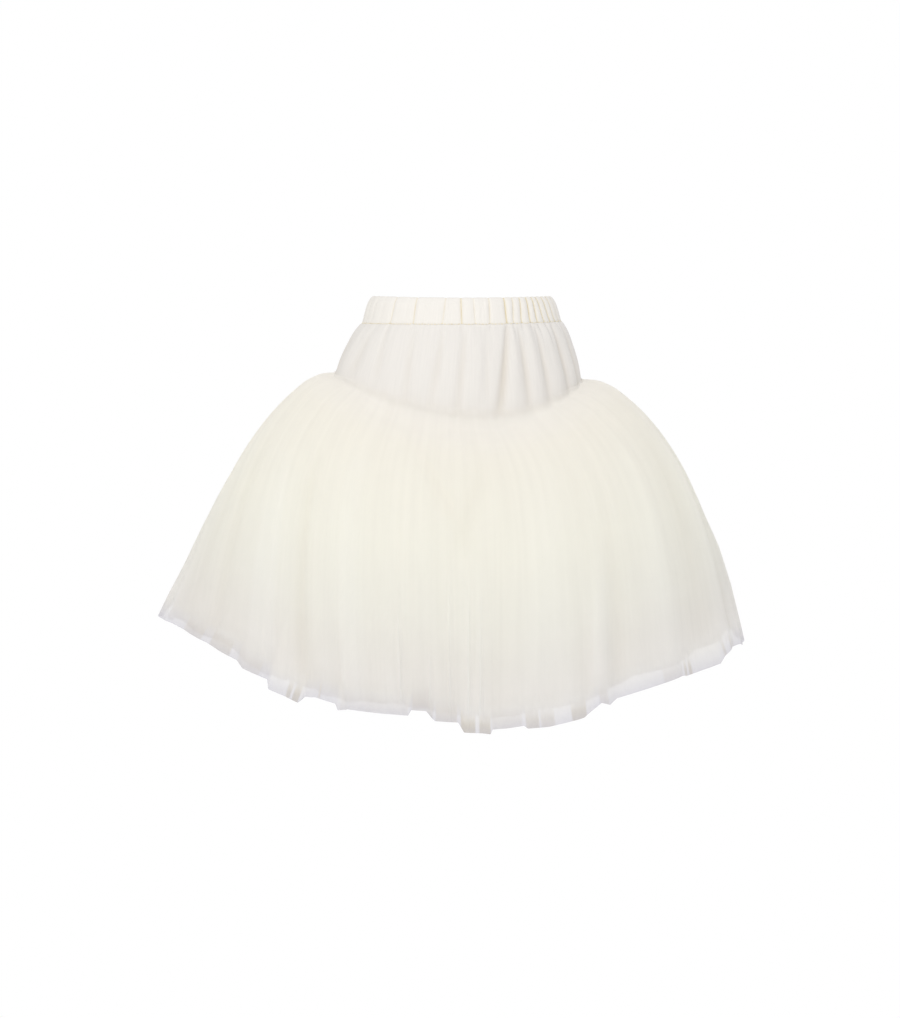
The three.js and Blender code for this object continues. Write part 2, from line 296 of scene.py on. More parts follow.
row_length = SCALLOPED * math.pi * (BAND_HALF_WIDTHS[0] + BAND_HALF_DEPTHS[0])
stitch_count = round(row_length / (STITCH_LENGTH + STITCH_GAP))
stitch_angles = 360 * np.arange(stitch_count) / stitch_count
row_out = np.full(stitch_count, THREAD / 2 - STITCH_SINK)
row_height = np.full(stitch_count, STITCH_LINE)
middles = np.stack(band_point(stitch_angles, row_out, row_height), axis=1)
ahead = np.stack(band_point(stitch_angles + STEP_AHEAD, row_out, row_height), axis=1)
along_row = ahead - middles
along_row /= np.linalg.norm(along_row, axis=1, keepdims=True)
upwards = np.tile([0.0, 0.0, 1.0], (stitch_count, 1))
outwards = np.cross(along_row, upwards)
stitch_frames = np.stack([outwards, upwards, along_row], axis=1)
places = middles[:, None, :] + np.einsum("vk,skc->svc", one, stitch_frames)
faces = [[i + n * len(one) for i in face] for n in range(stitch_count) for face in one_faces]
stitches.data.clear_geometry()
stitches.data.from_pydata((places.reshape(-1, 3) * MM).tolist(), [], faces)
bpy.ops.object.shade_smooth()


def cream_thread():
    """Spun polyester sewing thread, twisted: slightly glossy, with the light and shade of its twist painted
    as a soft ripple of tone along the row. A real twist is about 0.5 mm long and is drawn at 10 mm, because a
    finer one wouldn't show."""
    twist_length = 10
    material = bpy.data.materials.new("cream sewing thread")
    material.use_nodes = True
    tree = material.node_tree
    tree.nodes.clear()
    place = add_node(tree, "TexCoord", {}).outputs["Object"]
    # Painted light and shade of the twist, as diagonal bands of tone.
    twist = add_node(tree, "TexWave", {
        "Vector": place, "Scale": math.pi / (5 * twist_length * MM), "Distortion": 1.5,
    }, bands_direction="DIAGONAL").outputs["Fac"]
    colour = add_node(tree, "Mix", {
        "Factor": twist, 6: linear("#EBDDB6"), 7: linear("#F3EBD2"),
    }, data_type="RGBA").outputs[2]
    surface = add_node(tree, "BsdfPrincipled", {
        "Base Color": colour, "Roughness": 0.5, "Specular IOR Level": 0.4,
    }).outputs[0]
    add_node(tree, "OutputMaterial", {"Surface": surface})
    return material


stitches.data.materials.append(cream_thread())
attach(stitches, "root")

# Hip yoke
# Two panels of the same cotton, with a painted shade that makes them darker than the casing, gathered into
# the casing at the top and sewn to the tulle below. The gathers open out into soft folds that fan down and
# sideways, deeper on the side where the casing is crowded, and their valleys are painted in shade.
YOKE_COLUMNS = 340
YOKE_ROWS = 80
YOKE_TOP = -15.5  # just under the stitches
YOKE_SIDE_DROP = 67.5  # from the casing to the tulle seam at the sides
YOKE_DIP = 52  # how much lower the seam is at the centre front and back
DIP_ASIDE = 0.3  # how much more it dips towards +X, and less towards -X, as a share
SEAM_LOPSIDED = 9  # how much lower the seam is on the +X side
YOKE_CLOTH = 0.6  # thickness
YOKE_LEAN = -4.5  # how far its lower edge has slipped towards -X
YOKE_CUT = (0.5, 0.115)  # one panel, laid flat, in metres
YOKE_SPAN = 179.9  # degrees round that a panel covers, which leaves a fine gap at the side seams
PUCKERS = 3.4  # depth of the small gathers under the casing
PUCKERS_GROW = 0.03  # the share of the way down in which they grow
PUCKERS_FADE = 0.16  # and the share in which they fade
FOLD_GROWS = 0.08  # the share of the way down in which a fold grows
FOLD_FADES = 0.3  # and the share in which it fades
FADED_PAST = 0.25  # how far past its end that is over
FADED_TO = 0.15  # the share of its depth that is left below
FOLD_NARROW = 0.45  # its spread at the casing, as a share of that at the seam
FOLD_SHALLOW = 0.55  # its depth at both ends, as a share of that half way down
BACK_CLOSER = 0.97  # the back's folds are this much closer together
SHADED_DEPTH = 6  # depth at which a valley has its full painted shade

# The yoke's half width and depth, at shares of the way down
YOKE_DOWN = np.array([0, 0.12, 0.4, 0.7, 1])
YOKE_HALF_WIDTHS = np.array([132.1, 139.5, 150.5, 159.5, 165.5])
YOKE_HALF_DEPTHS = np.array([103.1, 108.5, 117.5, 125.5, 130.5])

# Folds of the front: angle at the casing and at the seam, half spread in degrees at the seam, depth (valleys
# are negative), and the share of the way down at which the fold ends
YOKE_FOLDS = np.array([
    (-80, -84, 7, -2.0, 0.9),
    (-66, -72, 6, 1.4, 1.0),
    (-56, -60, 5, -1.8, 0.8),
    (-44, -41, 4, -1.6, 0.7),
    (-36, -33, 6, 1.2, 1.0),
    (-26, -25, 3.5, -2.0, 1.0),
    (-20, -18, 5, 1.2, 0.9),
    (-9, -14, 3.5, -2.0, 0.9),
    (2, -1, 3.0, -2.4, 1.0),
    (8, 7, 5, 1.4, 1.0),
    (13, 12, 3, -1.6, 0.7),
    (25, 18, 3.2, -4.4, 1.0),
    (28, 26, 4, 1.6, 1.0),
    (32, 34, 3, -3.2, 1.0),
    (38, 40, 4, 1.6, 1.0),
    (44, 46, 3, -3.0, 1.0),
    (52, 54, 4, 1.8, 1.0),
    (59, 62, 3.2, -3.4, 1.0),
    (66, 69, 4, 1.6, 1.0),
    (73, 75, 3.5, -3.2, 1.0),
    (84, 86, 3.5, -2.4, 1.0),
])


def smooth_through(at, places, values):
    """A smooth curve through values at places, read at other places."""
    slopes = np.gradient(values, places)
    i = np.clip(np.searchsorted(places, at) - 1, 0, len(places) - 2)
    width = places[i + 1] - places[i]
    t = np.clip((at - places[i]) / width, 0, 1)
    return (
        values[i] * (1 + 2 * t) * (1 - t) ** 2 + values[i + 1] * t**2 * (3 - 2 * t)
        + width * (slopes[i] * t * (1 - t) ** 2 - slopes[i + 1] * t**2 * (1 - t))
    )


def seam_height(turn):
    """Height of the seam between yoke and tulle."""
    lower_side = SEAM_LOPSIDED * np.clip(np.sin(turn), 0, 1) ** 2
    dip = YOKE_DIP * np.cos(turn) ** 2 * (1 + DIP_ASIDE * np.sin(turn))
    return YOKE_TOP - YOKE_SIDE_DROP - dip - lower_side


def yoke_folds(angle, down):
    """How far the folds move the yoke's cloth out. The back has the front's folds, turned about."""
    moved = np.zeros_like(angle)
    for mirrored in (False, True):
        for top, bottom, spread, depth, end in YOKE_FOLDS:
            middle = top + (bottom - top) * down
            middle = 180 - BACK_CLOSER * middle if mirrored else middle
            away = degrees_apart(angle, middle) / (spread * (FOLD_NARROW + (1 - FOLD_NARROW) * down))
            grown = np.clip(down / FOLD_GROWS, 0, 1)
            fading = np.clip((end + FADED_PAST - down) / FOLD_FADES, FADED_TO, 1)
            deep = FOLD_SHALLOW + (1 - FOLD_SHALLOW) * np.sin(math.pi * np.clip(down, 0, 1))
            moved += depth * grown * fading * deep * np.exp(-away**2)
    return moved


def make_yoke(name, facing):
    """One panel of the yoke. Facing is the angle of its middle, 0 for the front and 180 for the back."""
    panel, across, down = lay_out(name, YOKE_COLUMNS, YOKE_ROWS)
    angle = facing + YOKE_SPAN * (across - 0.5)
    turn = np.radians(angle)
    held_up = WAIST_TILT * np.cos(turn) + WAIST_RISE * np.clip(np.sin(turn), 0, 1) ** 2
    height = YOKE_TOP + (seam_height(turn) - YOKE_TOP) * down + held_up * (1 - down)
    creases = deepest_crease(angle, np.full_like(angle, -BAND_HEIGHT / 2), band_creases)
    puckers = PUCKERS * (0.5 - creases) * np.exp(-down / PUCKERS_FADE) * np.clip(down / PUCKERS_GROW, 0, 1)
    out = yoke_folds(angle, down) + puckers
    half_width = smooth_through(down, YOKE_DOWN, YOKE_HALF_WIDTHS) + out
    half_depth = smooth_through(down, YOKE_DOWN, YOKE_HALF_DEPTHS) + out
    drape(panel, half_width * np.sin(turn) + YOKE_LEAN * down, -half_depth * np.cos(turn), height)
    # Painted shade in the valleys of the folds, the deeper the darker.
    mark(panel, "painted_shade", np.clip(-out / SHADED_DEPTH, 0, 1) ** 1.5)
    wall = panel.modifiers.new("cloth", "SOLIDIFY")
    wall.thickness = YOKE_CLOTH * MM
    wall.offset = -1
    bpy.ops.object.modifier_apply(modifier=wall.name)
    return panel


# The casing's cotton painted darker, a painted shade, with a greyer painted shade in its valleys.
yoke_cotton = ivory_cotton("ivory yoke cotton", YOKE_CUT, "#E7E3DD", "#D7CEC0")
for side, facing in (("front", 0), ("back", 180)):
    yoke = make_yoke(f"yoke_{side}_panel", facing)
    yoke.data.materials.append(yoke_cotton)
    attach(yoke, "root")
    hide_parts(f"yoke_{side}")

# Tulle
# Three layers of ivory nylon tulle, cut as straight strips, gathered hard into the seam and left with a raw
# hem. The stiff net leaves the seam level at the sides and more steeply at the front and back, and bends
# down. Inner layers are cut shorter, so that the outer one shows alone along the hem.
TULLE_LENGTH = 405  # net from the seam to the usual hem
TULLE_CUT = (1.22, 0.405)  # one panel of the outer layer, laid flat, in metres
TULLE_SPAN = 179.95  # degrees round that a panel covers, which leaves a fine gap at the side seams
ROWS_CROWD = 1.15  # the power by which the rows of its grid are closer together near the seam
TULLE_TUCK = 4  # how far the gathers draw the net in under the seam
TUCK_WITHIN = 0.08  # the share of the length in which they do
YOKE_SHOWS = 0.06  # the share of the length in which the yoke's folds fade from the net
FRONT_SAG = 20  # how much lower the net leaves the seam at the front and back than at the sides
SAG_AT = 0.1  # the share of the length at which that is most
SIDE_LAP = 0.08  # the lap over the yoke at the sides, as a share of that at the centre front and back
FLARE_LENGTH = 26  # length of lap that stands off the yoke
FLARE_FADES = 0.25  # the share of the length in which it comes back
TULLE_WAVES = 32
WAVE_DEPTH = 10  # at the usual hem, before the shares below
WAVE_SHARE = 0.06  # how much of the waves' depth is left once the smaller folds are added
HEM_WAVE_SHARE = 0.3  # and at the hem, which ripples more
RIPPLES_FROM = 0.65  # the share of the length from which it does
WAVE_SHIFT = 0.022  # radians by which the waves are unevenly placed
WAVE_UNEVEN = 0.25  # the share by which their depths differ
FOLD_TAPER = 0.2  # the share of the length in which a fold starts or ends
CREST_HEIGHT = 8  # height of a fold's crest, or depth of its valley, at which the crest's denser net and the valley's painted shade are full
SEAM_HELD = 0.01  # the share of a panel's width at its side seams that folds don't move sideways
LAYER_GAP = 13  # between layers, once they have parted
SEWN_GAP = 0.5  # between layers at the seam, and between the yoke and the inner one
LAYERS_PART = 0.3  # the share of the length that they take to part
TAB_HEIGHT = 0.055  # the share of the length up to which the hem is folded double in places
TAB_FADES = 0.03  # the share in which that ends
LOPSIDED = 7  # how much more of the outer layer shows alone at the +X side of the hem
HEM_RIPPLE = 2.5  # depth of the inner layers' own ripples
HEM_RIPPLES = 17  # how many there are round the hem
RIPPLE_PHASE = 50  # degrees between one layer's ripples and the next one's
HEM_SMOOTHED = (-9, -4.5, 0, 4.5, 9)  # degrees round over which the inner layers even the hem out
PLUMB_LEFT = 28  # degrees by which folds at the -X side turn to the front as they fall plumb
PLUMB_RIGHT = 18  # and at the +X side
LAYER_TONE = 0.05  # how much farther above the hem a layer's painted shade and density are read than those of the one outside it
CLOTH_SHIFT = 0.37  # how far a layer's net is shifted from the one outside it, in panel widths

# Towards each side: how far the hem stands out from the yoke, how far it is below the seam's highest point,
# and how much the fall bulges
TULLE_SIDES = {
    "left": (249, 331, -10),
    "right": (221, 364, 9),
    "front": (200, 381, 0),
    "back": (200, 381, 0),
}

# The fall in section: share of the length, shares of the way out and down, and the waves' depth
TULLE_FALL = np.array([
    (0.000, 0.000, 0.000, 0.0),
    (0.050, 0.095, 0.005, 0.9),
    (0.100, 0.180, 0.027, 1.8),
    (0.150, 0.255, 0.065, 2.6),
    (0.250, 0.385, 0.150, 3.8),
    (0.375, 0.525, 0.275, 5.0),
    (0.525, 0.660, 0.440, 6.4),
    (0.670, 0.770, 0.610, 7.6),
    (0.820, 0.872, 0.790, 8.8),
    (1.000, 1.000, 1.000, 10.0),
    (1.080, 1.050, 1.095, 10.4),
])

# The largest folds: angle at the seam and (if the net fell straight out) at the hem, half spread in degrees,
# depth at the hem (valleys are negative), how far the crest leans towards +X, and the shares of the length
# where the fold starts and ends
TULLE_FOLDS = np.array([
    (-88, -88, 4.0, -4, 0, 0.3, 1.1),
    (-77, -77, 4.0, -5, 0, 0.2, 1.1),
    (-60.5, -60.5, 3.2, 9, 10, 0.3, 1.1),
    (-49, -49, 2.2, -8, 0, 0.2, 1.1),
    (-34, -34, 4.0, 4, -4, 0.1, 1.1),
    (-19, -19, 0.6, 3, 1, 0.6, 1.1),
    (-21, 24, 3.0, -6, 0, 0.0, 0.55),
    (-10, -10, 0.5, 3, -1, 0.75, 1.1),
    (-4, -4, 0.6, 3, -1, 0.5, 1.1),
    (1, 1, 0.6, 3, 1, 0.5, 1.1),
    (4, 4, 0.6, 3, 1, 0.55, 1.1),
    (12, -14, 3.0, -6, 0, 0.1, 0.6),
    (22, 22, 5.0, 4, -4, 0.2, 1.1),
    (36, 36, 2.2, 6, -5, 0.55, 1.1),
    (41, 41, 3.0, -3.5, 0, 0.4, 1.1),
    (56, 56, 5.0, 4, 4, 0.1, 1.1),
    (71, 71, 4.0, -4, 0, 0.2, 1.1),
    (82, 82, 3.5, 5, 5, 0.2, 1.1),
    (103, 103, 6.0, 9, 0, 0.5, 1.02),
    (118, 118, 6.0, -8, 0, 0.1, 1.1),
    (133, 133, 2.4, 6, 5, 0.2, 1.1),
    (147, 147, 4.5, -8, 0, 0.1, 1.1),
    (160, 176, 3.0, -5, 0, 0.0, 0.6),
    (180, 180, 1.4, 5, -3, 0.4, 1.1),
    (205, 205, 5.0, -8, 0, 0.1, 1.1),
    (221, 221, 2.4, 6, -5, 0.3, 1.1),
    (236, 236, 6.0, -7, 0, 0.1, 1.1),
    (252, 252, 3.0, 5, 4, 0.2, 1.1),
])

# The outer layer's hem: angle, and how much longer than usual the net is there. Two rows close together are
# a step, where a fold of the cut edge passes behind the next one.
OUTER_HEM = np.array([
    (-180, 4), (-168, -2), (-167.6, 8), (-150, 0), (-149.6, -10), (-135, -6), (-134.5, 8), (-118, -12),
    (-104, -4), (-90, 2), (-82, -8), (-76, -14), (-70, -21), (-64, -25), (-54, -27), (-43.5, -24),
    (-41.5, -18), (-35.9, -15.5), (-35.1, -5), (-31, -2.5), (-28.6, 1), (-27.8, -7.5), (-25.5, -9.5),
    (-21.5, -7), (-20.9, 0), (-19, -3), (-9, -4), (-8.6, -10.5), (-6.2, -10.5), (-4.7, 0.5), (-0.9, 1.6),
    (0, 13), (3, 14), (4.8, 15.5), (5.3, 10), (8, 9.5), (10.8, 7.5), (11.4, 11), (15.5, 11), (22, 5),
    (25.6, -9), (27.2, -5), (29.2, -11), (33, -13.5), (45, -18), (47, -16), (53, -15), (59.6, -12),
    (61.6, -18), (66, -22), (74, -15), (80, -5), (90, 2), (106, -12), (118, -16), (118.6, -2), (134, 4),
    (150, 2), (150.6, -8), (166, 0), (180, 4),
])

# Where the outer layer's cut edge is folded double, shown by its material as denser net and painted shade:
# angle from and to, and how tightly, from 0 to 1
HEM_TABS = np.array([
    (-64, -56, 0.5), (-53, -46, 0.6), (-43.5, -38, 0.4), (-31, -30.1, 0.8), (-29.7, -28.7, 0.9),
    (-25, -24.6, 0.6), (-20.5, -9, 0.25), (-8.5, -5, 0.45), (-4.6, -1.2, 0.55), (-0.5, 2, 1.0),
    (2.6, 4.9, 0.9), (5.2, 10.5, 0.35), (11.2, 13.6, 0.7), (14.1, 16.6, 0.55), (19.6, 22.6, 0.8),
    (25.5, 27, 0.4), (39.8, 45.2, 0.35), (46.2, 47.2, 0.8), (48, 49.2, 0.8), (61.5, 62.3, 0.6),
    (64.5, 65.5, 0.6), (69, 70, 0.6), (98, 103, 0.5), (112, 113, 0.7), (121, 131, 0.3), (140, 141.5, 0.8),
    (155, 163, 0.4), (171, 172, 0.7), (184, 190, 0.5), (203, 204.5, 0.8), (214, 225, 0.3), (233, 234, 0.7),
    (247, 255, 0.5),
])

# The random gathers: half spread in degrees, least depth and how much deeper they may be, how far they may
# lean to either side, how many degrees they may drift, and the shares of the length where they may start
GATHER_SPREADS = (1.0, 5.5)
GATHER_LEAST = 0.2
GATHER_MORE = 1.0
GATHER_LEAN = 2
GATHER_DRIFT = 4
GATHER_STARTS = (-0.2, 0.6)

# Each layer: its order inwards, how far its gathered edge laps up over the yoke at the centre front and back
# and how far it stands off at the seam there, how much shorter it is than the outer layer's smoothed hem, the
# phase of its waves in degrees, its grid, its random gathers all round, and the seed of its unevenness
TULLE_LAYERS = {
    "outer": dict(order=0, lap=26, flare=8, shorter=0, phase=0, columns=880, rows=110, gathers=64, seed=11),
    "middle": dict(order=1, lap=9, flare=3, shorter=13, phase=60, columns=480, rows=70, gathers=44, seed=12),
    "inner": dict(order=2, lap=4, flare=0, shorter=25, phase=120, columns=400, rows=56, gathers=30, seed=13),
}


def tulle_base(along, turn, layer):
    """A layer with no folds, from its lap on the yoke (along under 0) and the seam (0) to the usual hem (1)
    or past it."""
    lap = TULLE_LENGTH * np.clip(-along, 0, None)
    below_seam = np.clip(along, 0, None)
    yoke_down = 1 - lap / (YOKE_TOP - seam_height(turn))
    near_seam = np.exp(-below_seam / YOKE_SHOWS)
    on_yoke = yoke_folds(np.degrees(turn), yoke_down) * near_seam
    flare = np.clip(1 - lap / FLARE_LENGTH, 0, 1) ** 2 * np.exp(-below_seam / FLARE_FADES)
    flare = flare * layer["flare"] * np.cos(turn) ** 2
    off_yoke = on_yoke + flare - TULLE_TUCK * np.clip(along / TUCK_WITHIN, 0, 1)
    reach = smooth_through(along, TULLE_FALL[:, 0], TULLE_FALL[:, 1])
    drop = smooth_through(along, TULLE_FALL[:, 0], TULLE_FALL[:, 2])
    bulge = np.sin(math.pi * np.clip(along, 0, 1))
    sides = np.array([TULLE_SIDES["left"], TULLE_SIDES["right"]])
    faces = np.array([TULLE_SIDES["front"], TULLE_SIDES["back"]])
    side_reach, side_drop, side_bulge = sides[np.where(np.sin(turn) < 0, 0, 1)].T
    face_reach, face_drop, face_bulge = faces[np.where(np.cos(turn) < 0, 1, 0)].T
    half_width = smooth_through(yoke_down, YOKE_DOWN, YOKE_HALF_WIDTHS) + off_yoke
    half_width = half_width + reach * side_reach + bulge * side_bulge
    half_depth = smooth_through(yoke_down, YOKE_DOWN, YOKE_HALF_DEPTHS) + off_yoke
    half_depth = half_depth + reach * face_reach + bulge * face_bulge
    hem_height = YOKE_TOP - YOKE_SIDE_DROP - side_drop - (face_drop - side_drop) * np.cos(turn) ** 2
    steep = np.clip(along / SAG_AT, 0, None)
    sag = FRONT_SAG * np.cos(turn) ** 2 * steep * np.exp(1 - steep)
    height = seam_height(turn) + drop * (hem_height - seam_height(turn)) + lap - sag
    leaning = YOKE_LEAN * yoke_down * near_seam**0.5
    return np.stack([half_width * np.sin(turn) + leaning, -half_depth * np.cos(turn), height], axis=1)


def gathered_at(angle, along):
    """The angle at which the net that hangs at another angle is gathered into the seam, found by steps."""
    steps = 14
    seam_angle = angle
    for _ in range(steps):
        turned = np.sin(np.radians(seam_angle))
        seam_angle = angle + np.clip(along, 0, 1) * np.where(turned < 0, PLUMB_LEFT, PLUMB_RIGHT) * turned
    return seam_angle


def hem_longer(angle, layer):
    """How much longer than usual a layer is at an angle. Inner layers have a smoother hem than the outer."""
    at, longer = OUTER_HEM.T
    if layer["order"] == 0:
        return np.interp(degrees_apart(angle, 0), at, longer)
    nearby = [np.interp(degrees_apart(angle, shift), at, longer) for shift in HEM_SMOOTHED]
    ripple = HEM_RIPPLE * np.sin(np.radians(angle * HEM_RIPPLES + RIPPLE_PHASE * layer["order"]))
    lopsided = LOPSIDED * np.sin(np.radians(angle))
    return np.mean(nearby, axis=0) - layer["shorter"] - lopsided + ripple


def hem_tabs(angle, above_hem, layer):
    """How tightly the net is folded double along a layer's hem, from 0 to 1, which its material shows as
    denser net and a painted shade. Only the outer layer has such folds."""
    doubled_and_shaded = np.zeros_like(angle)
    for start, end, tightness in HEM_TABS if layer["order"] == 0 else ():
        within = degrees_apart(angle, (start + end) / 2)
        doubled_and_shaded = np.where(np.abs(within) < (end - start) / 2, tightness, doubled_and_shaded)
    return doubled_and_shaded * np.clip((TAB_HEIGHT - above_hem) / TAB_FADES, 0, 1)


def tulle_folds(seam_angle, along, layer):
    """How far the folds and gathers move a layer's net out, and sideways towards +X."""
    growth = smooth_through(along, TULLE_FALL[:, 0], TULLE_FALL[:, 3])
    share = growth / WAVE_DEPTH
    turn = np.radians(seam_angle)
    shift = WAVE_SHIFT * (np.sin(4 * turn) + 0.6 * np.sin(6 * turn) - 0.8 * np.sin(10 * turn))
    uneven_depth = 1 - WAVE_UNEVEN + WAVE_UNEVEN * np.sin(5 * turn + layer["seed"])
    near_hem = np.clip((along - RIPPLES_FROM) / (1 - RIPPLES_FROM), 0, 1) ** 2
    wave_share = WAVE_SHARE + (HEM_WAVE_SHARE - WAVE_SHARE) * near_hem
    waves = np.sin(TULLE_WAVES * (turn - shift) + math.radians(layer["phase"]))
    out = wave_share * growth * uneven_depth * waves
    aside = np.zeros_like(out)
    for at_seam, at_hem, spread, depth, lean, start, end in TULLE_FOLDS:
        away = degrees_apart(seam_angle, at_seam + (at_hem - at_seam) * along) / spread
        length = np.clip((along - start) / FOLD_TAPER, 0, 1) * np.clip((end - along) / FOLD_TAPER, 0, 1)
        ridge = np.exp(-away**2) * share * length
        out += depth * ridge
        aside += lean * ridge
    draws = np.random.default_rng(layer["seed"])
    for at in draws.uniform(0, 360, layer["gathers"]):
        spread = draws.uniform(*GATHER_SPREADS)
        depth = draws.choice([-1, 1]) * (GATHER_LEAST + GATHER_MORE * draws.uniform() ** 2)
        lean = draws.uniform(-GATHER_LEAN, GATHER_LEAN)
        drift = draws.uniform(-GATHER_DRIFT, GATHER_DRIFT)
        start = draws.uniform(*GATHER_STARTS)
        away = degrees_apart(seam_angle, at + drift * (along - 0.5)) / spread
        near = np.abs(away) < 3
        grown = share[near] ** 1.4 * np.clip((along[near] - start) / FOLD_TAPER, 0, 1)
        ridge = np.exp(-away[near] ** 2) * grown
        out[near] += depth * ridge
        aside[near] += lean * ridge
    return out, aside


def make_tulle(name, layer, facing):
    """One panel of one layer. Facing is the angle of its middle, 0 for the front and 180 for the back."""
    panel, across, down = lay_out(name, layer["columns"], layer["rows"])
    angle = facing + TULLE_SPAN * (across - 0.5)
    turn = np.radians(angle)
    lap = layer["lap"] * (SIDE_LAP + (1 - SIDE_LAP) * np.cos(turn) ** 2) / TULLE_LENGTH
    hem = 1 + hem_longer(angle, layer) / TULLE_LENGTH
    along = down**ROWS_CROWD * (hem + lap) - lap
    seam_angle = gathered_at(angle, along)
    nudge = 0.002
    downwards = tulle_base(along + nudge, turn, layer) - tulle_base(along - nudge, turn, layer)
    sideways = tulle_base(along, turn + nudge, layer) - tulle_base(along, turn - nudge, layer)
    sideways /= np.linalg.norm(sideways, axis=1, keepdims=True)
    outwards = np.cross(downwards, sideways)
    outwards /= np.linalg.norm(outwards, axis=1, keepdims=True)
    out, aside = tulle_folds(seam_angle, along, layer)
    # Fold height: crests make the net denser, and valleys get a painted shade.
    mark(panel, "crest", np.clip(out / CREST_HEIGHT, -1, 1))
    # The lap grows faint towards its edge, but not at the side seams, where it is short.
    down_lap = np.clip(1 + along / lap, 0, 1)
    faint = np.clip(2 * np.cos(turn) ** 2, 0, 1) * (1 - down_lap**2 * (3 - 2 * down_lap))
    mark(panel, "sewn_in", 1 - faint)
    above_hem = np.clip(1 - along / hem, 0, 1)
    mark(panel, "above_hem", above_hem + LAYER_TONE * layer["order"])
    # Where the hem is folded double: denser net and a painted shade.
    mark(panel, "doubled_and_shaded", hem_tabs(angle, above_hem, layer))
    parted = np.clip(along / LAYERS_PART, 0, 1)
    out += 3 * SEWN_GAP - layer["order"] * (SEWN_GAP + (LAYER_GAP - SEWN_GAP) * parted)
    inside_seams = np.clip((0.5 - np.abs(across - 0.5)) / SEAM_HELD, 0, 1)
    moved = out[:, None] * outwards + (aside * inside_seams)[:, None] * sideways
    drape(panel, *(tulle_base(along, turn, layer) + moved).T)
    corners = np.empty(len(panel.data.loops), dtype=np.int32)
    panel.data.loops.foreach_get("vertex_index", corners)
    cloth = np.stack([seam_angle / 180 + CLOTH_SHIFT * layer["order"], 1 - along], axis=1)[corners]
    panel.data.uv_layers.active.data.foreach_set("uv", cloth.ravel())
    return panel


